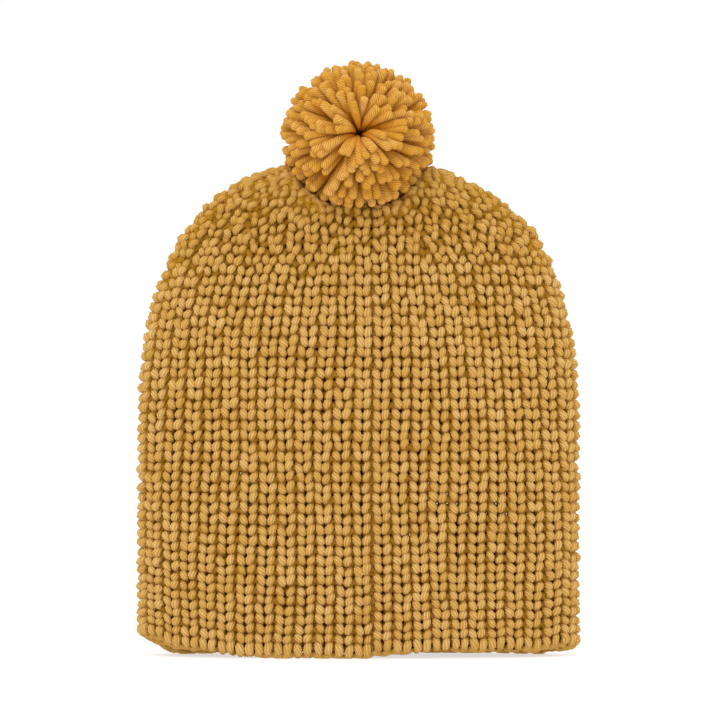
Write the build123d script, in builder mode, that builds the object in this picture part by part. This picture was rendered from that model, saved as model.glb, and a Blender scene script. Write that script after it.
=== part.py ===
from build123d import *
import os
from math import cos, pi, sin, sqrt

os.makedirs("parts", exist_ok=True)

# Knitted beanie with a pom-pom, lying flat but softly puffed.  Millimetres.
# Origin: centre of the head opening, in the plane of the brim.  +Z runs up to
# the pom-pom, the seamed front of the hat faces -Y.

# Driving dimensions of the knitted fabric
HALF_WIDTH = 115.0        # half of the flat width
SHOULDER_Z = 110.0        # above this the sides begin to curve in
TOP_Z = 258.0             # height where the curved sides would meet
SIDE_POWER = 2.7          # squareness of the crown's shoulders
BRIM_HALF_DEPTH = 24.0    # half of the puffed depth at the brim
DEPTH_TAPER = 0.45        # share of that depth lost towards the crown
WALL = 6.5                # thickness of the ribbed fabric
COLUMNS = 48              # rib columns round the hat
RIB_RISE = 0.9            # height of a rib above and below the mean surface
EDGE_HEIGHT = 5.0         # height of the cast-on edge
CROWN_Z = 175.0           # the decreases begin here

# Side seam, worked in mattress stitch a little right of the middle of the front
SEAM_X = 7.0
SEAM_TOP_Z = 216.0
SEAM_GAP = 2.0            # width of the groove between the two selvedges
SEAM_YARN_R = 0.9
SEAM_SWING = 2.4          # how far the seaming yarn reaches to each side
SEAM_BEND = 1.2           # radius of its turns
ROW_PITCH = 5.2           # height of one row of knitting

# Pom-pom and the yarn that holds it
POM_R = 40.5
POM_Z = 270.0
NEST_GAP = 0.4            # clearance between the pom-pom and the crown
PIT_R = 7.0               # pit where the strands part, front and back
PIT_DEPTH = 6.0
BIND_R = 8.0              # ring of the binding yarn round the strands' waist
BIND_YARN_R = 1.5
KNOT_R = 3.2              # knot that closes the binding yarn
RUN = 0.4                 # running clearance between pieces that move
TAIL_R = 1.0              # each of the two tails of the tie
TAIL_OFFSET = 1.1
TAIL_TURNS = 4
TAIL_TOP_Z = POM_Z - BIND_R - KNOT_R - RUN
TIE_HOLE_R = TAIL_R + TAIL_OFFSET + 0.5
TIE_KNOT_Z = 214.0        # knot of the tails inside the hat
TIE_KNOT_SIZE = 1.5
TIE_KNOT_R = 1.0          # yarn in that knot
HOLLOW_TOP = 3.6          # the strands part below the pom-pom's middle ...
HOLLOW_TOP_R = 4.6
HOLLOW_MOUTH_R = 19.6     # ... and leave the tie room to swing
GATHER_R = 7.0            # ring of the gathering yarn
GATHER_YARN_R = 1.3
GATHER_Z = POM_Z - POM_R - NEST_GAP - WALL / 2


def half_width(z):
    """Half of the hat's width at height z."""
    if z <= SHOULDER_Z:
        return HALF_WIDTH
    rise = (z - SHOULDER_Z) / (TOP_Z - SHOULDER_Z)
    return HALF_WIDTH * (1 - rise**SIDE_POWER) ** (1 / SIDE_POWER)


def half_depth(z):
    """Half of the hat's puffed depth at height z."""
    rise = max(z, 0) / TOP_Z
    return BRIM_HALF_DEPTH * (1 - DEPTH_TAPER * rise**1.5) * sqrt(1 - rise**8)


def front_y(x, z, inset):
    """Y of a surface lying inset inside the front of the hat."""
    wide = half_width(z) - inset
    deep = half_depth(z) - inset
    return -deep * sqrt(1 - (x / wide) ** 2)


def soft_tube(inset, heights):
    """Flattened tube through an ellipse at each height, inset from outside."""
    with BuildPart() as tube:
        for z in heights:
            with BuildSketch(Plane.XY.offset(z)):
                Ellipse(half_width(z) - inset, half_depth(z) - inset)
        loft()
    return tube.part


def ribbed_tube(heights):
    """Outside of the fabric: a loft through ellipses of rounded ribs, with
    one of the grooves between them on the seam."""
    with BuildPart() as tube:
        for z in heights:
            ring = Edge.make_ellipse(half_width(z), half_depth(z))
            flatness = RIB_RISE * half_depth(z) / BRIM_HALF_DEPTH
            corners = []
            for i in range(2 * COLUMNS + 1):
                share = (0.75 + SEAM_X / ring.length + i / (2 * COLUMNS)) % 1
                along = ring % share
                rise = flatness * (1 if i % 2 else -1)
                corner = ring @ share
                corners.append((corner.X + along.Y * rise, corner.Y - along.X * rise))
            corners[-1] = corners[0]
            with BuildSketch(Plane.XY.offset(z)):
                with BuildLine():
                    for i in range(COLUMNS):
                        ThreePointArc(*corners[2 * i : 2 * i + 3])
                make_face()
        loft()
    return tube.part


# Seaming yarn: one length that zigzags between the two selvedges
with BuildPart() as seam_yarn:
    seam_points = []
    for i in range(int((SEAM_TOP_Z - 3) / ROW_PITCH) + 1):
        seam_z = 3 + i * ROW_PITCH
        seam_x = SEAM_X + SEAM_SWING * (1 if i % 2 else -1)
        seam_points.append((seam_x, front_y(seam_x, seam_z, WALL / 2), seam_z))
    with BuildLine() as seam_path:
        FilletPolyline(*seam_points, radius=SEAM_BEND)
    with BuildSketch(Plane(origin=seam_path.line @ 0, z_dir=seam_path.line % 0)):
        Circle(SEAM_YARN_R)
    sweep(path=seam_path.line)
seam_yarn.part.label = "seam_yarn"
export_step(seam_yarn.part, "parts/seam_yarn.step")

# Gathering yarn: a ring drawn tight through the last row under the pom-pom
with BuildPart() as gather_cord:
    with Locations((0, 0, GATHER_Z)):
        Torus(GATHER_R, GATHER_YARN_R)
gather_cord.part.label = "gather_cord"
export_step(gather_cord.part, "parts/gather_cord.step")

# Room for the head: the inside of the tube, with the ceiling bulging down
# where the pom-pom nests
with BuildPart() as head_space:
    add(soft_tube(WALL, [-1, 30, 70, 110, 145, 175, 200, 218, 230, 238]))
    with Locations((0, 0, POM_Z)):
        Sphere(POM_R + NEST_GAP + WALL, mode=Mode.SUBTRACT)

# The whole knitted panel, seamed into a tube and gathered under the pom-pom
with BuildPart() as fabric:
    add(ribbed_tube([0, 30, 70, 110, 145, 175, 200, 220, 236, 247, 254]))
    add(head_space.part, mode=Mode.SUBTRACT)
    with Locations((0, 0, POM_Z)):
        Sphere(POM_R + NEST_GAP, mode=Mode.SUBTRACT)
    with Locations((0, 0, GATHER_Z)):
        Cylinder(TIE_HOLE_R, 4 * WALL, mode=Mode.SUBTRACT)
    with Locations((SEAM_X, -BRIM_HALF_DEPTH, SEAM_TOP_Z / 2 - 5)):
        Box(SEAM_GAP, 2 * BRIM_HALF_DEPTH, SEAM_TOP_Z + 10, mode=Mode.SUBTRACT)
    add(gather_cord.part, mode=Mode.SUBTRACT)
    add(seam_yarn.part, mode=Mode.SUBTRACT)

# Cast-on edge: the rope-like first row round the opening
with BuildPart() as cast_on_edge:
    add(fabric.part)
    split(bisect_by=Plane.XY.offset(EDGE_HEIGHT), keep=Keep.BOTTOM)
cast_on_edge.part.label = "cast_on_edge"
export_step(cast_on_edge.part, "parts/cast_on_edge.step")

# Straight ribbed part
with BuildPart() as rib_body:
    add(fabric.part)
    split(bisect_by=Plane.XY.offset(EDGE_HEIGHT), keep=Keep.TOP)
    split(bisect_by=Plane.XY.offset(CROWN_Z), keep=Keep.BOTTOM)
rib_body.part.label = "rib_body"
export_step(rib_body.part, "parts/rib_body.step")

# Crown: the narrowing part, gathered into a nest for the pom-pom
with BuildPart() as crown:
    add(fabric.part)
    split(bisect_by=Plane.XY.offset(CROWN_Z), keep=Keep.TOP)
crown.part.label = "crown"
export_step(crown.part, "parts/crown.step")

def knot_point(turn):
    """Point of a three-lobed knot, turn running from 0 to 3."""
    t = 2 * pi * turn / 3
    x = TIE_KNOT_SIZE * (sin(t) + 2 * sin(2 * t))
    y = TIE_KNOT_SIZE * (cos(t) - 2 * cos(2 * t))
    return (x, y, TIE_KNOT_Z - TIE_KNOT_SIZE * sin(3 * t))


# Two tails of the binding yarn, twisted together, from the pom-pom's middle
# down through the gathered crown
with BuildPart() as anchor_tails:
    tail_start_z = TIE_KNOT_Z + TIE_KNOT_SIZE + TIE_KNOT_R
    tail_length = TAIL_TOP_Z - tail_start_z
    with BuildLine(Plane.XY.offset(tail_start_z)) as tail_path:
        Helix(tail_length / TAIL_TURNS, tail_length, TAIL_OFFSET)
    with BuildSketch(Plane(origin=tail_path.line @ 0, z_dir=tail_path.line % 0)):
        Circle(TAIL_R)
    sweep(path=tail_path.line, is_frenet=True)
    add(anchor_tails.part, rotation=(0, 0, 180))
anchor_tails.part.label = "anchor_tails"
export_step(anchor_tails.part, "parts/anchor_tails.step")

# Knot of the two tails inside the hat: three crossing lobes drawn tight
with BuildPart() as inside_knot:
    for lobe in range(3):
        with BuildLine() as knot_path:
            Spline(*[knot_point(lobe + i / 8) for i in range(9)])
        with BuildSketch(Plane(origin=knot_path.line @ 0, z_dir=knot_path.line % 0)):
            Circle(TIE_KNOT_R)
        sweep(path=knot_path.line)
inside_knot.part.label = "inside_knot"
export_step(inside_knot.part, "parts/inside_knot.step")

# Binding yarn: a ring drawn tight round the waist of the strands
with BuildPart() as binding_cord:
    with Locations(Location((0, 0, POM_Z), (90, 0, 0))):
        Torus(BIND_R, BIND_YARN_R)
binding_cord.part.label = "binding_cord"
export_step(binding_cord.part, "parts/binding_cord.step")

# Knot of the binding yarn, sliding on the ring's lowest point
with BuildPart() as binding_knot:
    with Locations((0, 0, POM_Z - BIND_R)):
        Sphere(KNOT_R)
    with Locations(Location((0, 0, POM_Z), (90, 0, 0))):
        Torus(BIND_R, BIND_YARN_R + RUN, mode=Mode.SUBTRACT)
binding_knot.part.label = "binding_knot"
export_step(binding_knot.part, "parts/binding_knot.step")

# The pom-pom: a bundle of cut strands, tied at its waist.  Seen from the front
# or back its strands part from a small pit
with BuildPart() as pom:
    with Locations((0, 0, POM_Z)):
        Sphere(POM_R)
    for turn in (90, -90):
        with Locations(Location((0, 0, POM_Z), (turn, 0, 0))):
            with Locations((0, 0, POM_R - PIT_DEPTH / 2)):
                Cone(0.5, PIT_R, PIT_DEPTH, mode=Mode.SUBTRACT)
    with Locations(Location((0, 0, POM_Z), (90, 0, 0))):
        Torus(BIND_R, BIND_YARN_R, mode=Mode.SUBTRACT)
    hollow_height = POM_R + 1.5 - HOLLOW_TOP
    with Locations((0, 0, POM_Z - HOLLOW_TOP - hollow_height / 2)):
        Cone(HOLLOW_MOUTH_R, HOLLOW_TOP_R, hollow_height, mode=Mode.SUBTRACT)

with BuildPart() as pom_front_strands:
    add(pom.part)
    split(bisect_by=Plane.XZ, keep=Keep.TOP)
pom_front_strands.part.label = "pom_front_strands"
export_step(pom_front_strands.part, "parts/pom_front_strands.step")

with BuildPart() as pom_back_strands:
    add(pom.part)
    split(bisect_by=Plane.XZ, keep=Keep.BOTTOM)
pom_back_strands.part.label = "pom_back_strands"
export_step(pom_back_strands.part, "parts/pom_back_strands.step")
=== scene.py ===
import math

import bpy
import numpy as np
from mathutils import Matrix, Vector


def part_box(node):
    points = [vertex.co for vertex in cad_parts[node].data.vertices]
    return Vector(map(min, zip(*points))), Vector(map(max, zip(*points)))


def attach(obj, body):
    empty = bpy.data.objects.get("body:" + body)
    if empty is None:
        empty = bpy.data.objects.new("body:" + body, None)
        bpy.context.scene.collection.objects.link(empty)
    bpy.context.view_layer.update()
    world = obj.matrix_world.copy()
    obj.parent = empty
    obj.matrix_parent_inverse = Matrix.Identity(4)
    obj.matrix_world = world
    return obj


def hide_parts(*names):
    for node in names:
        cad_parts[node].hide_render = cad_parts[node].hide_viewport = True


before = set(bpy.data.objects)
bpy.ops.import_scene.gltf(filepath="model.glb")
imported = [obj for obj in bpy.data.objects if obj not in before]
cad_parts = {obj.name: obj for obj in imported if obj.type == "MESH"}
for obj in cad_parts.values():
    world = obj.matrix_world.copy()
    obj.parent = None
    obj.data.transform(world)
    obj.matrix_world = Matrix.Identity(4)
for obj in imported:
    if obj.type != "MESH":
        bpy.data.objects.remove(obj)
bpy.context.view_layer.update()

MM = 0.001                # the sizes below are in mm, the meshes in metres
rng = np.random.default_rng(41)

# ---------------------------------------------------------------- sizes, mm
pom_box = [np.array(c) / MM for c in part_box("pom_front_strands")]
ring_box = [np.array(c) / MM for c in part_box("binding_cord")]
brim_box = [np.array(c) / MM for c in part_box("cast_on_edge")]
knot_box = [np.array(c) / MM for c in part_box("inside_knot")]
gather_box = [np.array(c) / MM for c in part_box("gather_cord")]
tails_box = [np.array(c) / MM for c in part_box("anchor_tails")]

POM_CENTRE = (ring_box[0] + ring_box[1]) / 2
POM_R = (pom_box[1][0] - pom_box[0][0]) / 2
EDGE_INSET = 0.9          # the face lies this far inside the brim's CAD box
HALF_WIDTH = brim_box[1][0] - EDGE_INSET
HALF_DEPTH = brim_box[1][1] - EDGE_INSET
SIDE_Z = 100.0            # above this the sides curve in
SIDE_POWER = 2.85         # how square the shoulder is
TOP_Z = 258.0
DEPTH_TAPER = 0.45        # share of the depth lost on the way to the top
SEAM_X = 7.0              # the seam lies this far right of the middle
SEAM_TOP_Z = 216.0
SLUMP = 2.2               # how much lower the right shoulder lies

COLUMNS = 48
YARN_R = 2.03
MID = 4.2                 # depth of the fabric's middle below its face
FIRST_ROW = 5.0
LOOP_ROW = 5.2            # row height that the loop's points are drawn for
LOOP_COLUMN = 10.0        # column width that they are drawn for
EDGE_DROP = 1.3           # the first row's loops are drawn down over the edge
EDGE_SPREAD = 0.4         # and their legs stand further apart

NEST_R = POM_R - 1.2      # the crown's face stays outside this sphere
NEST_CLEAR = NEST_R - 1.7  # and its loops stay outside this one
NEST_BULGE = 4.2          # the gathered middle stands up a little
GATHER_SPARE = 6.0        # the sides' rows stop this far from the nest's middle


def smooth(x, low, high):
    """0 below low, 1 above high, and an even S-curve between them."""
    t = np.clip((x - low) / (high - low), 0, 1)
    return t * t * (3 - 2 * t)


def unit(v):
    """Vectors scaled to length 1."""
    return v / np.maximum(np.linalg.norm(v, axis=-1, keepdims=True), 1e-9)


def half_width(z):
    """Half of the hat's width at height z."""
    rise = np.clip((z - SIDE_Z) / (TOP_Z - SIDE_Z), 0, 0.9999)
    return HALF_WIDTH * (1 - rise**SIDE_POWER) ** (1 / SIDE_POWER)


def half_depth(z):
    """Half of the hat's depth at height z."""
    rise = np.clip(z / TOP_Z, 0, 0.9999)
    return HALF_DEPTH * (1 - DEPTH_TAPER * rise**1.5) * np.sqrt(1 - rise**8)


# ------------------------------------------------------- the fabric's face
TURNS = 480               # samples round the hat
STEP = 1.0                # between samples along a column, mm
REACH = 345.0             # longest column, from the brim to the nest's middle
LEVEL_STEP = 0.75         # between the outlines that the columns are read from
EVENING = 5               # times that the lines are smoothed
NEST_STEPS = 40


def ellipse_at(z):
    """Points at equal shares of the girth, starting from the seam."""
    a = np.linspace(0, 2 * np.pi, 3 * TURNS + 1)
    x = half_width(z) * np.sin(a)
    y = -half_depth(z) * np.cos(a)
    along = np.concatenate([[0], np.cumsum(np.hypot(np.diff(x), np.diff(y)))])
    want = (np.arange(TURNS) / TURNS * along[-1] + SEAM_X) % along[-1]
    return np.stack([np.interp(want, along, x), np.interp(want, along, y),
                     np.full(TURNS, z)], axis=1)


def line_into_nest(line):
    """Cuts a line where it meets the pom-pom's nest and leads it to the middle."""
    off = np.linalg.norm(line - POM_CENTRE, axis=1)
    last = np.argmax(off < NEST_R) if (off < NEST_R).any() else len(line)
    line = line[:last]
    arm = unit(line[-1] - POM_CENTRE)
    flat = unit(np.array([arm[0], arm[1], 0]))
    turn = np.linspace(math.acos(-arm[2]), 0, NEST_STEPS)[1:, None]
    radius = NEST_R - NEST_BULGE * smooth(np.cos(turn), 0.90, 0.97)
    nest = POM_CENTRE + radius * (flat * np.sin(turn) - np.array([0, 0, 1]) * np.cos(turn))
    return np.concatenate([line, nest])


def column_lines():
    """Lines up the hat, over the edge of the nest and in to its middle."""
    levels = np.array([ellipse_at(z) for z in np.arange(0, TOP_Z - 0.4, LEVEL_STEP)])
    want = np.arange(int(REACH / STEP)) * STEP
    lines = np.zeros((TURNS, len(want), 3))
    ends = np.zeros(TURNS)
    for k in range(TURNS):
        line = line_into_nest(levels[:, k])
        along = np.concatenate([[0], np.cumsum(np.linalg.norm(np.diff(line, axis=0), axis=1))])
        ends[k] = along[-1]
        for axis in range(3):
            lines[k, :, axis] = np.interp(want, along, line[:, axis])
    for _ in range(EVENING):
        lines[:, 1:-1] = (lines[:, :-2] + 2 * lines[:, 1:-1] + lines[:, 2:]) / 4
    return lines, ends


def face_normals(face):
    """Directions out of the face; near the brim they keep those just above it."""
    around = np.roll(face, -1, axis=0) - np.roll(face, 1, axis=0)
    upward = np.gradient(face, axis=1)
    upward[:, :2] = upward[:, 2:3]
    return unit(np.cross(around, upward))


def slump(face):
    """The crown's right shoulder lies a little lower than its left."""
    lower = smooth(face[..., 0], 33, 60) * smooth(face[..., 2], 222, 246)
    face[..., 2] -= SLUMP * lower
    return face


FACE, FACE_END = column_lines()
FACE = slump(FACE)
FACE_OUT = face_normals(FACE)


def on_face(share, s, field=FACE):
    """Value of a field at a share of the girth and a height along the column."""
    u = (share % 1.0) * TURNS
    v = np.clip(s / STEP, -40, field.shape[1] - 2.001)
    below = np.minimum(v, 0)    # a little below the brim it goes straight down
    v = np.maximum(v, 0)
    i, j = np.floor(u).astype(int), np.floor(v).astype(int)
    fu, fv = (u - i)[..., None], (v - j)[..., None]
    i, k = i % TURNS, (i + 1) % TURNS
    value = ((field[i, j] * (1 - fu) + field[k, j] * fu) * (1 - fv)
             + (field[i, j + 1] * (1 - fu) + field[k, j + 1] * fu) * fv)
    if field is FACE:
        value[..., 2] += below * STEP
    return value


LIFT_LEFT = 4.2           # how far the front of the brim rises to its left
LIFT_SEAM = 1.9           # the step up at the seam
LIFT_RIGHT = 1.2          # and the rest of the rise to the right of it
LIFT_LEFT_CORNER, LIFT_RIGHT_CORNER = 9.0, 4.0
LIFT_FADES_Z = 110.0      # the rows above this lie straight


def brim_lift(p):
    """The front of the brim lies a little crooked, and both its corners turn up."""
    x, z = p[..., 0], p[..., 2]
    front = smooth(-p[..., 1], 1, 7)
    left = LIFT_LEFT * smooth(-x, 45, 100)
    right = (LIFT_SEAM * smooth(x, SEAM_X - 1.5, SEAM_X + 1.5)
             + LIFT_RIGHT * smooth(x, 18, 40))
    corner = LIFT_LEFT_CORNER * smooth(-x, 92, 116) + LIFT_RIGHT_CORNER * smooth(x, 92, 118)
    lift = front * (left + right) * smooth(118 - abs(x), 0, 16) + corner
    out = p.copy()
    out[..., 2] += lift * np.clip(1 - z / LIFT_FADES_Z, 0, 1) ** 1.5
    return out


# ---------------------------------------------------------- yarn and tubes
SIDES = 14                # points round a yarn
LOBES = 7                 # its plies, two points each
GROOVE = 0.13             # depth of the grooves between them, of the yarn's radius
ANGLE = np.arange(SIDES) / SIDES * 2 * np.pi


def make_piece(name, parts):
    """One object from the (verts, faces, strand, tint, depth) arrays of tubes."""
    counts = np.cumsum([0] + [len(part[0]) for part in parts])
    verts = np.concatenate([part[0] for part in parts])
    faces = np.concatenate([part[1] + first for part, first in zip(parts, counts)])
    mesh = bpy.data.meshes.new(name)
    mesh.vertices.add(len(verts))
    mesh.vertices.foreach_set("co", (verts * MM).astype(np.float32).ravel())
    mesh.loops.add(faces.size)
    mesh.loops.foreach_set("vertex_index", faces.astype(np.int32).ravel())
    mesh.polygons.add(len(faces))
    mesh.polygons.foreach_set("loop_start", np.arange(0, faces.size, 4, dtype=np.int32))
    mesh.polygons.foreach_set("use_smooth", np.ones(len(faces), dtype=bool))
    mesh.update(calc_edges=True)
    strand = np.concatenate([part[2] for part in parts])
    mesh.attributes.new("strand", "FLOAT_VECTOR", "POINT").data.foreach_set(
        "vector", strand.astype(np.float32).ravel())
    # 1 on the plies' ridges and 0 in their grooves; the material paints shade into the grooves by
    # it
    ridge = np.tile([1.0, 0.0], len(verts) // 2)
    layers = (("tint", np.concatenate([part[3] for part in parts])),
              ("depth", np.concatenate([part[4] for part in parts])), ("ridge", ridge))
    for layer, values in layers:
        mesh.attributes.new(layer, "FLOAT", "POINT").data.foreach_set(
            "value", values.astype(np.float32))
    obj = bpy.data.objects.new(name, mesh)
    bpy.context.scene.collection.objects.link(obj)
    return obj


def ring_faces(rings, closed):
    """Quads between successive rings of SIDES points."""
    last = rings if closed else rings - 1
    a = np.arange(last)[:, None] * SIDES
    b = ((np.arange(last) + 1) % rings)[:, None] * SIDES
    k = np.arange(SIDES)[None, :]
    n = (k + 1) % SIDES
    return np.stack([a + k, a + n, b + n, b + k], axis=2).reshape(-1, 4)


def cap_faces(start):
    """Closes a ring of SIDES points with quads."""
    return np.array([[start + i, start + i + 1, start + SIDES - 2 - i, start + SIDES - 1 - i]
                     for i in range(SIDES // 2 - 1)])


def tube_part(rings, closed, length, tint, depth):
    """Arrays of one tube: rings (n, SIDES, 3), the rest one value a ring or a point."""
    count = len(rings)
    faces = [ring_faces(count, closed)]
    if not closed:
        faces.append(cap_faces(0)[:, ::-1])
        faces.append(cap_faces((count - 1) * SIDES))
    strand = np.stack(np.broadcast_arrays(np.cos(ANGLE)[None], np.sin(ANGLE)[None],
                                          length[:, None]), axis=2)
    spread = [np.broadcast_to(np.asarray(value, float).reshape(-1, 1) if np.ndim(value) == 1
                              else value, (count, SIDES)) for value in (tint, depth)]
    return (rings.reshape(-1, 3), np.concatenate(faces), strand.reshape(-1, 3),
            spread[0].ravel(), spread[1].ravel())


def carry_frame(points, start):
    """Frames that don't twist along many curves at once: points is (curves, n, 3)."""
    tangent = unit(np.gradient(points, axis=1))
    side = np.zeros_like(points)
    side[:, 0] = unit(start - (start * tangent[:, 0]).sum(-1, keepdims=True) * tangent[:, 0])
    for k in range(points.shape[1] - 1):
        v1 = points[:, k + 1] - points[:, k]
        c1 = np.maximum((v1 * v1).sum(-1, keepdims=True), 1e-12)
        r = side[:, k] - 2 / c1 * (v1 * side[:, k]).sum(-1, keepdims=True) * v1
        t = tangent[:, k] - 2 / c1 * (v1 * tangent[:, k]).sum(-1, keepdims=True) * v1
        v2 = tangent[:, k + 1] - t
        c2 = np.maximum((v2 * v2).sum(-1, keepdims=True), 1e-12)
        side[:, k + 1] = r - 2 / c2 * (v2 * r).sum(-1, keepdims=True) * v2
    return tangent, unit(side)


def lobed_rings(points, side, tangent, radius, twist):
    """Rings of a plied yarn round each point; twist is the turn at each point."""
    other = np.cross(tangent, side)
    section = 1 - GROOVE * (0.5 - 0.5 * np.cos(LOBES * ANGLE))
    turn = ANGLE + twist[..., None]
    offset = (np.cos(turn)[..., None] * side[..., None, :]
              + np.sin(turn)[..., None] * other[..., None, :])
    return points[..., None, :] + offset * (radius[..., None] * section)[..., None]


def spline_weights(knots, samples):
    """Weights of a Catmull-Rom curve through knots, at even steps of its length."""
    count = len(knots)
    dense = np.linspace(0, count - 1, 40 * count)

    def weights(t):
        w = np.zeros((len(t), count))
        i = np.clip(np.floor(t).astype(int), 0, count - 2)
        f = t - i
        terms = [-0.5 * f + f**2 - 0.5 * f**3, 1 - 2.5 * f**2 + 1.5 * f**3,
                 0.5 * f + 2 * f**2 - 1.5 * f**3, -0.5 * f**2 + 0.5 * f**3]
        for offset, term in zip((-1, 0, 1, 2), terms):
            j = i + offset
            low, high = j < 0, j > count - 1
            inside = ~(low | high)
            np.add.at(w, (np.nonzero(inside)[0], j[inside]), term[inside])
            rows = np.nonzero(low)[0]
            np.add.at(w, (rows, np.zeros_like(rows)), 2 * term[low])
            np.add.at(w, (rows, np.ones_like(rows)), -term[low])
            rows = np.nonzero(high)[0]
            np.add.at(w, (rows, np.full_like(rows, count - 1)), 2 * term[high])
            np.add.at(w, (rows, np.full_like(rows, count - 2)), -term[high])
        return w

    curve = weights(dense) @ knots
    along = np.concatenate([[0], np.cumsum(np.linalg.norm(np.diff(curve, axis=0), axis=1))])
    even = np.interp(np.linspace(0, along[-1], samples), along, dense)
    return weights(even)


def smooth_line(knots, samples):
    """Even points on a smooth curve through knots."""
    knots = np.asarray(knots, float)
    return spline_weights(knots, samples) @ knots


def yarn(points, radius, lay, closed=False, tint=0.0, depth=1.0, phase=0.0):
    """One plied yarn along points; lay is the length of one turn of its plies."""
    points = np.asarray(points, float)
    radius = np.broadcast_to(np.asarray(radius, float), len(points))
    tangent, side = carry_frame(points[None], np.array([[0.31, 0.17, 0.93]]))
    if closed:
        wide = np.concatenate([points[-1:], points, points[:1]])
        tangent = unit(wide[2:] - wide[:-2])[None]
    along = np.concatenate([[0], np.cumsum(np.linalg.norm(np.diff(points, axis=0), axis=1))])
    twist = phase - 2 * np.pi * along / lay
    if closed:
        span = along[-1] + np.linalg.norm(points[0] - points[-1])
        other = np.cross(tangent[0, 0], side[0, 0])
        slip = math.atan2(side[0, -1] @ other, side[0, -1] @ side[0, 0])
        turns = max(1, round(span / lay))
        twist = phase - (2 * np.pi * turns + slip) * along / span
    rings = lobed_rings(points[None], side, tangent, radius[None], twist[None])[0]
    return tube_part(rings, closed, along, tint, depth)


# --------------------------------------------------------------- one stitch
# Right half of a loop, from its foot up the leg and round to the head:
# across (mm for a 10 mm column), up (mm), out of the face (mm)
LEG = np.array([
    [2.50, -2.10, -4.70],
    [2.12, -1.55, -3.50],
    [1.80, -0.95, -2.00],
    [1.86, -0.30, -0.75],
    [2.18, 0.35, -0.30],
    [2.56, 0.95, -0.85],
    [2.78, 1.60, -2.25],
    [2.62, 2.85, -3.85],
    [1.80, 4.60, -4.55],
    [0.00, 5.30, -4.80],
])
LOOP = np.concatenate([LEG * [-1, 1, 1], LEG[::-1][1:]])
BACK_GIRTH = 1.15         # the loops on the inside are drawn thicker, to close the knit
BACK_HEAD_OUT = -3.2      # and their heads lie nearer the inside
BACK_LOOP = LOOP.copy()
BACK_LOOP[len(LEG) - 1, 2] = BACK_HEAD_OUT
FRONT_RINGS, BACK_RINGS = 28, 11
FRONT_TURNS, BACK_TURNS = -1.5, -0.5   # turns of the plies along a loop
UNEVEN, UNEVEN_WAVES = 0.3, 15   # neighbouring columns' rows don't quite line up
POINT_NOISE = (0.10, 0.10, 0.08)   # of each point of a loop, mm
LOOP_NOISE = (0.28, 0.32, 0.36)    # of a whole loop
SPREAD_NOISE, TILT_NOISE = 0.07, 0.15
MOST = 1.7                # no loop differs by more than this many times those
WEIGHTS = [spline_weights(LOOP, FRONT_RINGS + 1), spline_weights(BACK_LOOP, BACK_RINGS + 1)]


ROW_AT_BRIM = 5.0         # the rows are taller up the body and lower again in the crown


def row_starts():
    """Heights of the rows along a column at the middle of the front."""
    heights, s = [], FIRST_ROW
    while s < REACH - 12:
        heights.append(s)
        s += ROW_AT_BRIM + 0.42 * smooth(s, 25, 70) - 0.35 * smooth(s, 175, 215)
    return np.array(heights)


ROWS = row_starts()


DECREASES = ((3, 214.0), (0, 233.0), (5, 250.0), (2, 266.0))   # column in six, height


def column_edges(s):
    """Shares of the girth where the columns meet at height s, and their widths;
    decreased columns close to nothing, one in six at a time."""
    i = np.arange(COLUMNS)
    width = np.ones(COLUMNS)
    for which, height in DECREASES:
        jitter = 7.0 * np.sin(i * 2.4 + which)
        width -= (i % 6 == which) * smooth(s, height + jitter - 9, height + jitter + 9)
    width = np.maximum(width, 0)
    edge = np.concatenate([[0], np.cumsum(width)])
    wander = 0.10 * np.sin(s / 23.0 + np.arange(COLUMNS + 1) * 0.55)
    wander[0] = wander[-1] = 0
    return edge / edge[-1] + wander / COLUMNS, width


def back_shift(s):
    """Keeps the back's rows between the front's, as seen from the front."""
    return 0.7 - 0.0214 * min(s, 154.0) - 0.0135 * max(s - 154.0, 0.0)


SEAM_DIP = 1.1            # how far the seam pulls the fabric in


def place(cell, up, out, row, edges):
    """Hat position of points (cell counts columns from the seam), its share and s."""
    wrapped = cell % COLUMNS
    low = np.floor(wrapped).astype(int)
    part = wrapped - low
    share = edges[low] * (1 - part) + edges[low + 1] * part
    back = smooth(share, 0.19, 0.29) - smooth(share, 0.71, 0.81)
    s = ROWS[row] + up + back * back_shift(ROWS[row])
    s = s + UNEVEN * np.sin(UNEVEN_WAVES * 2 * np.pi * wrapped / COLUMNS + ROWS[row] / 31)
    s = s + 0.10 * np.abs(np.sin(share * 2 * np.pi)) * np.maximum(ROWS[row] - 190, 0)
    face = on_face(share, s)
    normal = unit(on_face(share, s, FACE_OUT))
    room = np.clip((half_depth(np.minimum(face[..., 2], 250)) - 1.0) / 11.0, 0.35, 1.0)
    seam = np.minimum(wrapped, COLUMNS - wrapped)
    dip = SEAM_DIP * np.exp(-(seam / 0.32) ** 2) * smooth(250 - s, 0, 20)
    return face + normal * (out * room - dip)[..., None], normal, share, s


def loop_shapes(count, loose):
    """Loops with small differences; their ends stay where they meet."""
    shapes = np.repeat(LOOP[None], count, axis=0)
    fade = np.ones(len(LOOP))
    fade[[0, -1]] = 0
    jitter = rng.normal(size=(count, len(LOOP), 3)) * POINT_NOISE
    whole = np.clip(rng.normal(size=(count, 1, 3)), -MOST, MOST) * LOOP_NOISE * loose
    spread = 1 + np.clip(rng.normal(size=(count, 1)), -MOST, MOST) * SPREAD_NOISE * loose
    shapes = shapes + (jitter + whole) * fade[None, :, None]
    shapes[:, 1:-1, 0] *= spread
    tilt = np.clip(rng.normal(size=(count, 1)), -MOST, MOST) * TILT_NOISE * loose
    shapes[:, :, 1] += tilt * shapes[:, :, 0]
    return shapes


JOIN_R = YARN_R * 0.94    # every loop has this radius where it meets the next


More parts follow.
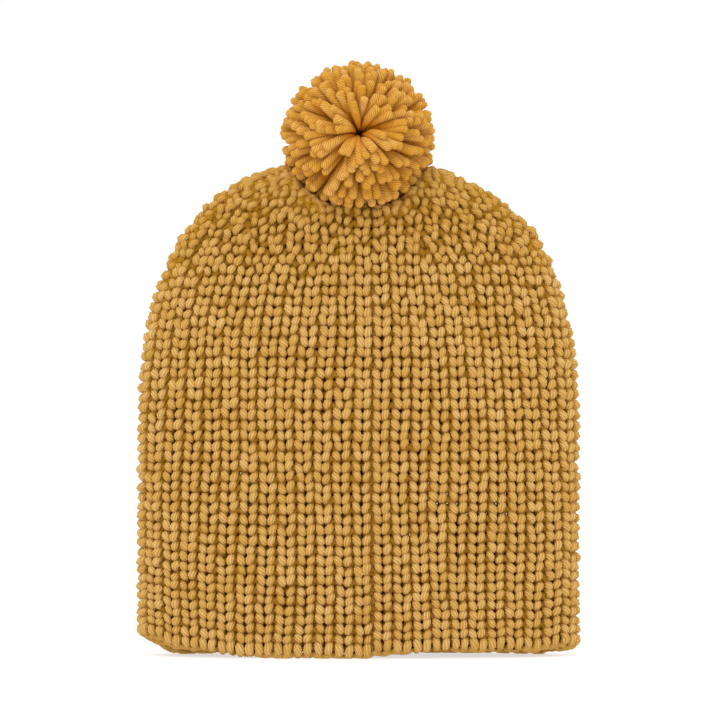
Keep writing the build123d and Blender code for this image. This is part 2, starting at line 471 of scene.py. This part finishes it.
def loop_tubes(shapes, middle, row, edges, tall, girth, which):
    """Rings and their depths of a row's front (0) or back (1) loops, and which of the
    loops end before the nest's middle."""
    curve = np.einsum("mk,lkc->lmc", WEIGHTS[which], shapes)
    across, up = curve[..., 0], curve[..., 1] * tall
    if row == 0:
        low = smooth(-up, -1.4, 1.0)
        across = across + (-1) ** which * EDGE_SPREAD * np.sign(across) * low
        up = up - EDGE_DROP * low
    cell = middle[:, None] + across / LOOP_COLUMN
    out = curve[..., 2] if which == 0 else -2 * MID - curve[..., 2]
    spots, normal, share, s = place(cell, up, out, row, edges)
    above = place(cell, up + 1.0, out, row, edges)[0]
    wale = unit(above - spots)[:, [0, -1]]
    tangent, side = carry_frame(spots, wale[:, 0])
    end = unit(wale[:, 1] - (wale[:, 1] * tangent[:, -1]).sum(-1, keepdims=True) * tangent[:, -1])
    other = np.cross(tangent[:, -1], side[:, -1])
    slip = np.arctan2((end * other).sum(-1), (end * side[:, -1]).sum(-1))
    steps = np.linspace(0, 1, curve.shape[1])
    turns = (FRONT_TURNS, BACK_TURNS)[which]
    twist = which * np.pi + steps[None] * (2 * np.pi * turns + slip[:, None])
    blend = smooth(np.minimum(steps, 1 - steps) * 2, 0, 0.3)
    lumps = rng.normal(size=(2, len(girth), 1)) * 0.045
    lumpy = 1 + lumps[0] * np.cos(6 * np.pi * steps) + lumps[1] * np.sin(10 * np.pi * steps)
    radius = JOIN_R + (girth[:, None] * lumpy - JOIN_R) * blend
    hoops = lobed_rings(spots, side, tangent, radius, twist)
    # each point's depth below the face; the material paints crease shade by it
    depth = out[..., None] + ((hoops - spots[..., None, :]) * normal[..., None, :]).sum(-1)
    spare = 0.5 + GATHER_SPARE * np.abs(np.sin(2 * np.pi * share))
    fits = (s < FACE_END[(share * TURNS).astype(int) % TURNS] - spare).all(axis=1)
    return hoops[:, :-1], depth[:, :-1], fits


def runs_of(fits):
    """Runs of neighbouring loops; one closed run if they go all the way round."""
    if fits.all():
        return [(np.arange(len(fits)), True)]
    runs, run = [], []
    for n in np.roll(np.arange(len(fits)), -int(np.argmin(fits))):
        if fits[n]:
            run.append(n)
        elif run:
            runs.append((np.array(run), False))
            run = []
    if run:
        runs.append((np.array(run), False))
    return runs


RING_STEP = 0.8           # yarn from one ring to the next, mm, for its fibres


def knit_row(row):
    """One row of yarn: a loop on the face, a loop on the back, and so on."""
    edges, width = column_edges(ROWS[row])
    pitch = ROWS[row + 1] - ROWS[row]
    tall = pitch / LOOP_ROW
    keep = np.nonzero(width > 0.3)[0]
    loose = 0.5 if row == 0 else (1 + 0.5 * smooth(ROWS[row], 150, 190)
                                  + 0.9 * smooth(ROWS[row], 195, 225)
                                  - 1.7 * smooth(ROWS[row], 235, 255))
    narrow = 0.8 + 0.2 * np.clip(width[keep], 0.55, 1) - 0.12 * smooth(ROWS[row], 180, 235)
    thicker = 1.08 if row == 0 else 1
    girth = YARN_R * (1 + rng.normal(size=len(keep)) * 0.04) * narrow * thicker
    front = loop_shapes(len(keep), loose)
    back = np.repeat(BACK_LOOP[None], len(keep), axis=0)
    parts = [loop_tubes(front, keep + 0.5, row, edges, tall, girth, 0),
             loop_tubes(back, keep + 1.0, row, edges, tall, girth * BACK_GIRTH, 1)]
    hoops = brim_lift(np.concatenate([parts[0][0], parts[1][0]], axis=1))
    depth = np.concatenate([parts[0][1], parts[1][1]], axis=1)
    # a random tone for each loop, and painted shade that darkens the rows of the crown
    tone_and_crown_shade = rng.normal(size=len(keep)) * 0.5 - 1.5 * smooth(ROWS[row], 185, 235)
    per_loop = FRONT_RINGS + BACK_RINGS
    tubes = []
    for run, closed in runs_of(parts[0][2] & parts[1][2]):
        length = np.arange(len(run) * per_loop) * RING_STEP + row * 37.0
        tubes.append(tube_part(hoops[run].reshape(-1, SIDES, 3), closed, length,
                               np.repeat(tone_and_crown_shade[run], per_loop), depth[run].reshape(-1, SIDES)))
    return tubes


# ---------------------------------------------------------------- materials
def math_node(nodes, links, operation, *inputs):
    """Result of a Math node; inputs are numbers or sockets."""
    node = nodes.new("ShaderNodeMath")
    node.operation = operation
    for socket, value in zip(node.inputs, inputs):
        if isinstance(value, (int, float)):
            socket.default_value = value
        else:
            links.new(value, socket)
    return node.outputs[0]


def attribute(nodes, name):
    node = nodes.new("ShaderNodeAttribute")
    node.attribute_name = name
    return node


def noise(nodes, links, vector, scale, detail):
    node = nodes.new("ShaderNodeTexNoise")
    node.inputs["Scale"].default_value = scale
    node.inputs["Detail"].default_value = detail
    node.inputs["Roughness"].default_value = 0.65
    links.new(vector, node.inputs["Vector"])
    return node.outputs["Fac"]


def ramp(nodes, links, fac, stops):
    """Colour of a ramp with (position, colour) stops."""
    node = nodes.new("ShaderNodeValToRGB")
    for element, (position, colour) in zip(node.color_ramp.elements, (stops[0], stops[-1])):
        element.position = position
        element.color = (*colour, 1)
    for position, colour in stops[1:-1]:
        node.color_ramp.elements.new(position).color = (*colour, 1)
    links.new(fac, node.inputs["Fac"])
    return node.outputs["Color"]


FIBRE_STRETCH = 0.16      # fibres run along the yarn
CREASE_SHADE_DEPTH = 3.2        # mm below the fabric's face, where the painted crease shade is full


def wool(name, painted_crease_shade, groove_shade_and_dark_fibre, mid, light, sheen):
    """Plied wool: its colour and fine bump run along the plies; the colour goes from painted
    shade in the grooves to light on the ridges, and creases between yarns take a painted crease
    shade."""
    mat = bpy.data.materials.new(name)
    mat.use_nodes = True
    nodes, links = mat.node_tree.nodes, mat.node_tree.links
    shader = nodes["Principled BSDF"]
    shader.inputs["Roughness"].default_value = 0.95
    shader.inputs["Specular IOR Level"].default_value = 0.06
    shader.inputs["Sheen Weight"].default_value = sheen
    shader.inputs["Sheen Roughness"].default_value = 0.5
    shader.inputs["Sheen Tint"].default_value = (1.0, 0.86, 0.62, 1)
    strand = attribute(nodes, "strand").outputs["Vector"]
    stretch = nodes.new("ShaderNodeMapping")
    stretch.inputs["Scale"].default_value = (1.0, 1.0, FIBRE_STRETCH)
    links.new(strand, stretch.inputs["Vector"])
    fibres = noise(nodes, links, stretch.outputs["Vector"], 3.4, 3)
    heather = noise(nodes, links, strand, 0.35, 2)
    ridge = attribute(nodes, "ridge").outputs["Fac"]
    tint = attribute(nodes, "tint").outputs["Fac"]
    tone = math_node(nodes, links, "MULTIPLY_ADD", tint, 0.07, -0.08)
    # painted shade: the ply grooves (ridge 0) come out darker than the ridges; the ramp's dark
    # end is groove shade and dark fibres
    tone = math_node(nodes, links, "MULTIPLY_ADD", ridge, 0.38, tone)
    tone = math_node(nodes, links, "MULTIPLY_ADD", fibres, 0.55, tone)
    tone = math_node(nodes, links, "MULTIPLY_ADD", heather, 0.32, tone)
    face = ramp(nodes, links, tone, ((0.25, groove_shade_and_dark_fibre), (0.55, mid), (0.85, light)))
    # painted crease shade: the deeper a point lies below the fabric's face, the more it takes the
    # crease shade colour
    depth = nodes.new("ShaderNodeMapRange")
    depth.interpolation_type = "SMOOTHSTEP"
    depth.inputs["From Min"].default_value = -CREASE_SHADE_DEPTH
    depth.inputs["From Max"].default_value = 0.6
    links.new(attribute(nodes, "depth").outputs["Fac"], depth.inputs["Value"])
    mix = nodes.new("ShaderNodeMix")
    mix.data_type = "RGBA"
    mix.inputs[6].default_value = (*painted_crease_shade, 1)
    links.new(depth.outputs["Result"], mix.inputs[0])
    links.new(face, mix.inputs[7])
    links.new(mix.outputs[2], shader.inputs["Base Color"])
    relief = math_node(nodes, links, "MULTIPLY_ADD", ridge, 0.6, fibres)
    bump = nodes.new("ShaderNodeBump")
    bump.inputs["Strength"].default_value = 0.5
    bump.inputs["Distance"].default_value = 0.0005
    links.new(relief, bump.inputs["Height"])
    links.new(bump.outputs["Normal"], shader.inputs["Normal"])
    return mat


BODY = wool("body_wool", painted_crease_shade=(0.41, 0.195, 0.011), groove_shade_and_dark_fibre=(0.50, 0.248, 0.029),
            mid=(0.605, 0.350, 0.087), light=(0.80, 0.535, 0.228), sheen=0.06)
POM = wool("pom_wool", painted_crease_shade=(0.70, 0.28, 0.003), groove_shade_and_dark_fibre=(0.55, 0.22, 0.006),
           mid=(0.64, 0.305, 0.027), light=(0.88, 0.57, 0.25), sheen=0.06)
TIE = wool("tie_wool", painted_crease_shade=(0.34, 0.150, 0.012), groove_shade_and_dark_fibre=(0.44, 0.20, 0.030),
           mid=(0.58, 0.31, 0.070), light=(0.74, 0.46, 0.15), sheen=0.05)


def dress(obj, mat, body, slot, *nodes):
    """Gives a piece its material and body, and hides the CAD nodes it stands for; slot is not
    used.
    """
    obj.data.materials.clear()
    obj.data.materials.append(mat)
    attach(obj, body)
    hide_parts(*nodes)


# ------------------------------------------------------------- knitted rows
ROWS_PER_PIECE = 3
CROWN_Z = 175.0           # rows above this stand for the crown


def knit_fabric():
    """The whole fabric, three rows to a piece."""
    first_crown_row = int(np.argmax(ROWS > CROWN_Z))
    for start in range(0, len(ROWS) - 1, ROWS_PER_PIECE):
        tubes = []
        for row in range(start, min(start + ROWS_PER_PIECE, len(ROWS) - 1)):
            tubes.extend(knit_row(row))
        if tubes:
            piece = make_piece(f"knit_rows_{start + 1:02d}", tubes)
            node = "rib_body" if start < first_crown_row else "crown"
            dress(piece, BODY, "hat", "body_yarn", node)


# ------------------------------------------------------------ cast-on edge
EDGE_R = 1.55
EDGE_LAY = 9.0
EDGE_STEPS = 22           # points per column
EDGE_STRANDS = ((1.6, -2.9), (1.55, -5.8), (4.6, -4.6))   # height, out of the face


def cast_on_edge():
    """An edge of three strands that every column's first stitch hangs over."""
    cell = np.arange(COLUMNS * EDGE_STEPS) / EDGE_STEPS
    edges, _ = column_edges(0.0)
    low = np.floor(cell).astype(int)
    share = edges[low] + (edges[low + 1] - edges[low]) * (cell - low)
    lumps = np.repeat(rng.normal(size=(COLUMNS, 2)), EDGE_STEPS, axis=0)
    for _ in range(14):
        lumps = (np.roll(lumps, 1, axis=0) + lumps + np.roll(lumps, -1, axis=0)) / 3
    tubes = []
    for middle_s, middle_out in EDGE_STRANDS:
        swing = 4 * np.pi * cell + middle_out
        s = middle_s + 0.2 * np.sin(swing) + 0.4 * lumps[:, 0] + 0.35 * np.cos(2 * np.pi * cell)
        out = middle_out + 0.7 * np.cos(swing) + 0.5 * lumps[:, 1]
        points = on_face(share, s) + unit(on_face(share, s, FACE_OUT)) * out[:, None]
        thick = EDGE_R * (1 + 0.25 * lumps[:, 1])
        # depth -1.0 gives the edge strands part of the painted crease shade
        tubes.append(yarn(brim_lift(points), thick, EDGE_LAY, closed=True, tint=0.1, depth=-1.0))
    return make_piece("cast_on_edge_strands", tubes)


# --------------------------------------------------------------- seam yarn
SEAM_R, SEAM_LAY = 0.95, 6.0
SEAM_HALF = 0.20          # columns from the seam to each side of the stitching
SEAM_OUT = -3.2


def seam_yarn():
    """Mattress stitch: the yarn steps from one edge column to the other."""
    knots = []
    for row in range(int(np.argmax(ROWS > SEAM_TOP_Z))):
        cell = np.array([SEAM_HALF if row % 2 else COLUMNS - SEAM_HALF])
        edges, _ = column_edges(ROWS[row])
        knots.append(brim_lift(place(cell, 0.0, np.array([SEAM_OUT]), row, edges)[0])[0])
    points = smooth_line(knots, len(knots) * 9)
    # depth -1.6 gives the seam yarn mostly the painted crease shade
    return make_piece("seam_stitching", [yarn(points, SEAM_R, SEAM_LAY, tint=-0.6, depth=-1.6)])


# ------------------------------------------------------ ties, rings, knots
GATHER_R = 1.25
GATHER_INSET = 1.3        # from the CAD ring's outline to the middle of the yarn
RING_LAY = 7.0
TAIL_R, TAIL_LAY = 1.05, 5.0
TAIL_TURNS = 4            # of the two tails round each other


def turn_round(count):
    """Angles of a closed ring of points."""
    return np.arange(count) / count * 2 * np.pi


def gather_ring():
    """The drawn-in yarn at the middle of the nest."""
    centre = (gather_box[0] + gather_box[1]) / 2
    radius = (gather_box[1][0] - gather_box[0][0]) / 2 - GATHER_INSET
    a = turn_round(120)
    ring = np.stack([radius * np.cos(a), radius * np.sin(a), 0.5 * np.sin(6 * a)], axis=1)
    tube = yarn(ring + centre, GATHER_R, RING_LAY, closed=True, tint=-0.4)
    return make_piece("gather_yarn", [tube])


def twisted_tails():
    """The binding yarn's two tails, twisted together on their way down."""
    low, high = tails_box[0][2] + 0.4, tails_box[1][2] - 0.4
    z = np.linspace(low, high, 90)
    a = 2 * np.pi * TAIL_TURNS * (z - low) / (high - low)
    tubes = []
    for start in (0, np.pi):
        tail = np.stack([TAIL_R * np.cos(a + start), TAIL_R * np.sin(a + start), z], axis=1)
        tubes.append(yarn(tail, TAIL_R, TAIL_LAY, tint=-0.3))
    return make_piece("tie_tails", tubes)


def inside_knot():
    """A small tight knot of three crossing lobes, with its cut ends."""
    centre = (knot_box[0] + knot_box[1]) / 2
    size = 1.5
    t = turn_round(150)
    knot = size * np.stack([np.sin(t) + 2 * np.sin(2 * t), np.cos(t) - 2 * np.cos(2 * t),
                            -np.sin(3 * t)], axis=1)
    tubes = [yarn(knot + centre, TAIL_R, TAIL_LAY, closed=True)]
    ends = (((1.0, 0, -1.0), (1.8, 0.4, -4.0), (1.4, 1.0, -9.0), (2.2, 1.4, -15.0)),
            ((-1.0, 0, -1.0), (-1.6, -0.3, -4.5), (-2.6, 0.2, -8.0), (-2.2, -1.0, -13.0)))
    for knots in ends:
        line = smooth_line(np.array(knots) + centre, 24)
        tubes.append(yarn(line, TAIL_R * np.linspace(1, 1.15, 24), TAIL_LAY, tint=0.1))
    return make_piece("inside_tie_knot", tubes)


BIND_R = (ring_box[1][0] - ring_box[0][0]) / 2 - 1.5   # to the middle of its yarn
BIND_YARN_R = 1.45
KNOT_R, KNOT_YARN_R = 2.3, 0.62


def binding_ring():
    """The yarn bound round the pom-pom's middle."""
    a = turn_round(140)
    ring = np.stack([BIND_R * np.cos(a), 0.35 * np.sin(3 * a), BIND_R * np.sin(a)], axis=1)
    tube = yarn(ring + POM_CENTRE, BIND_YARN_R, RING_LAY, closed=True, tint=-0.2)
    return make_piece("binding_yarn", [tube])


def binding_knot():
    """Two turns of yarn round the lowest point of the binding."""
    centre = POM_CENTRE - np.array([0, 0, BIND_R])
    a = np.linspace(0, 4 * np.pi, 90)
    turns = np.stack([np.linspace(-1.0, 1.0, 90), KNOT_R * np.sin(a), KNOT_R * np.cos(a)], axis=1)
    return make_piece("binding_knot_turns", [yarn(turns + centre, KNOT_YARN_R, TAIL_LAY)])


# ------------------------------------------------------------------ pom-pom
STRANDS = 560             # spread over the ball; the pits and the tie take some away
STRAND_R = 2.25
STRAND_LAY = 10.5
CORE_RINGS, TIP_RINGS = 6, 28
CORE_END = 0.36           # share of a strand that lies hidden in the core
TIP_ENDS = [0.982, 0.992, 0.998, 1.0]   # the rounded cut end
PIT_EDGE = 0.955          # no strand points nearer than this to the pits, front and back
TIE_ROOM = -0.93          # nor further down than this: the tie comes in there
PIT_TILT = math.radians(7)   # the front's parting looks up a little
LOW = 0.45                # strands that point down more than this meet the crown
PRESS = 1.1               # those press this far into it
HANG = 2.2                # and those in front and behind hang over its edge
FULLER_BELOW = 0.18       # the strands under the pom-pom open out and fill their gaps


def strand_tips():
    """Directions spread evenly over the ball, clear of both pits and of the tie."""
    i = np.arange(STRANDS) + 0.5
    golden = math.pi * (3 - math.sqrt(5))
    axial = 1 - 2 * i / STRANDS
    ring = np.sqrt(1 - axial**2)
    tips = np.stack([ring * np.cos(golden * i), -axial, ring * np.sin(golden * i)], axis=1)
    tips = unit(tips + rng.normal(size=tips.shape) * 0.05)
    tips = tips[np.abs(tips[:, 1]) <= PIT_EDGE]
    lift = PIT_TILT * smooth(-tips[:, 1], 0.0, 1.0)
    y = tips[:, 1] * np.cos(lift) + tips[:, 2] * np.sin(lift)
    z = -tips[:, 1] * np.sin(lift) + tips[:, 2] * np.cos(lift)
    tips = np.stack([tips[:, 0], y, z], axis=1)
    return tips[tips[:, 2] > TIE_ROOM]


def strand_line(tip, t):
    """Out of the binding, along the pom-pom's axis and over to the tip."""
    short = abs(rng.normal())
    if tip[2] < -LOW:
        reach = NEST_CLEAR + PRESS - short * 0.3
        reach += HANG * smooth(abs(tip[1]), 0.32, 0.42) * smooth(-tip[2], LOW, 0.8)
    else:
        reach = POM_R + (0.6 if tip[2] < 0 else 0.0) - short * 1.1
    if tip[2] > 0:
        reach += rng.uniform(-0.4, 1.6)
    axis = np.array([0, math.copysign(math.cos(PIT_TILT), tip[1]), 0])
    if tip[1] < 0:
        axis[2] = math.sin(PIT_TILT)
    along = abs(tip @ axis)
    flat = tip - axis * along
    root = axis * 1.5 + flat * 3.0 + rng.normal(size=3) * 0.6
    bend = axis * along * reach * rng.uniform(0.80, 1.0) + flat * reach * rng.uniform(0.04, 0.16)
    bend = bend + rng.normal(size=3) * 1.3
    return (1 - t) ** 2 * root + 2 * t * (1 - t) * bend + t**2 * tip * reach


def pom_strands():
    """Tubes of cut strands for four groups: front and back, left and right."""
    groups = {"front_left": [], "front_right": [], "back_left": [], "back_right": []}
    t = np.concatenate([np.linspace(0, CORE_END, CORE_RINGS, endpoint=False),
                        np.linspace(CORE_END, 0.97, TIP_RINGS), TIP_ENDS])[:, None]
    for tip in strand_tips():
        points = strand_line(tip, t) + POM_CENTRE
        grow = 0.34 + 0.66 * smooth(t[:, 0], 0.12, 0.72)
        blunt = np.clip((t[:, 0] - 0.96) / 0.04, 0, 1)
        full = 1 + FULLER_BELOW * smooth(-tip[2], LOW, 0.75)
        radius = STRAND_R * rng.uniform(0.9, 1.08) * full * grow * np.sqrt(1 - 0.93 * blunt**2)
        # painted shade: the deeper a strand's points lie inside the ball, the more they take the
        # crease shade colour
        off = np.linalg.norm(points - POM_CENTRE, axis=1)
        depth = (off - POM_R + 4.5) * 0.28
        side = "front" if tip[1] < 0 else "back"
        half = "left" if tip[0] < 0 else "right"
        groups[f"{side}_{half}"].append(
            yarn(points, radius, STRAND_LAY * rng.uniform(0.92, 1.08), tint=rng.normal() * 0.5,
                 depth=depth, phase=rng.uniform(0, 6.28)))
    return groups


# -------------------------------------------------------------------- build
knit_fabric()
dress(cast_on_edge(), BODY, "hat", "body_yarn", "cast_on_edge")
dress(seam_yarn(), TIE, "hat", "seam_yarn", "seam_yarn")
dress(gather_ring(), TIE, "hat", "seam_yarn", "gather_cord")
dress(twisted_tails(), TIE, "tie", "tie_yarn", "anchor_tails")
dress(inside_knot(), TIE, "tie", "tie_yarn", "inside_knot")
dress(binding_ring(), TIE, "pom", "tie_yarn", "binding_cord")
dress(binding_knot(), TIE, "knot", "tie_yarn", "binding_knot")
for group, tubes in pom_strands().items():
    node = "pom_front_strands" if group.startswith("front") else "pom_back_strands"
    dress(make_piece(f"pom_{group}_tuft", tubes), POM, "pom", "pom_yarn", node)


# ---------------------------------------------------------- stage and light
AIM = Vector((0, 0, 0.15))


def make_floor():
    """A pale floor that glows a little, like a light table."""
    size = 12.0
    mesh = bpy.data.meshes.new("floor")
    mesh.from_pydata([(-size, -size, 0), (size, -size, 0), (size, size, 0), (-size, size, 0)],
                     [], [(0, 1, 2, 3)])
    floor = bpy.data.objects.new("floor", mesh)
    bpy.context.scene.collection.objects.link(floor)
    mat = bpy.data.materials.new("floor")
    mat.use_nodes = True
    shader = mat.node_tree.nodes["Principled BSDF"]
    shader.inputs["Base Color"].default_value = (0.4, 0.4, 0.4, 1)
    shader.inputs["Roughness"].default_value = 1.0
    shader.inputs["Specular IOR Level"].default_value = 0.0
    shader.inputs["Emission Color"].default_value = (1, 1, 1, 1)
    shader.inputs["Emission Strength"].default_value = 0.65
    floor.data.materials.append(mat)


def make_light(name, spot, size, power):
    """A square soft light at spot, turned to the hat."""
    light = bpy.data.lights.new(name, "AREA")
    light.shape = "SQUARE"
    light.size = size
    light.energy = power
    obj = bpy.data.objects.new(name, light)
    bpy.context.scene.collection.objects.link(obj)
    obj.location = spot
    obj.rotation_euler = (AIM - Vector(spot)).to_track_quat("-Z", "Y").to_euler()


make_floor()
make_light("key", (-0.5, -1.3, 1.6), 0.8, 9)
make_light("fill", (1.4, -1.6, 0.5), 1.4, 1.5)
make_light("top", (0.0, 0.2, 1.9), 1.4, 4)
make_light("back", (0.3, 1.8, 1.0), 1.4, 4)

world = bpy.data.worlds.new("studio")
bpy.context.scene.world = world
world.use_nodes = True
world.node_tree.nodes["Background"].inputs["Color"].default_value = (1, 1, 1, 1)
world.node_tree.nodes["Background"].inputs["Strength"].default_value = 1.0
bpy.context.scene.view_settings.view_transform = "Standard"

# ------------------------------------------------------------------- camera
FRAME = 0.3744            # width that the picture shows at the hat's middle, m
LENS = 180.0
SENSOR = 36.0
camera_data = bpy.data.cameras.new("camera")
camera = bpy.data.objects.new("camera", camera_data)
bpy.context.scene.collection.objects.link(camera)
bpy.context.scene.camera = camera
camera_data.lens = LENS
camera_data.sensor_width = SENSOR
camera_data.clip_end = 50
distance = FRAME * LENS / SENSOR
camera.location = (0.0008, -distance - 0.012, 0.1545)
camera.rotation_euler = (math.pi / 2, 0, 0)
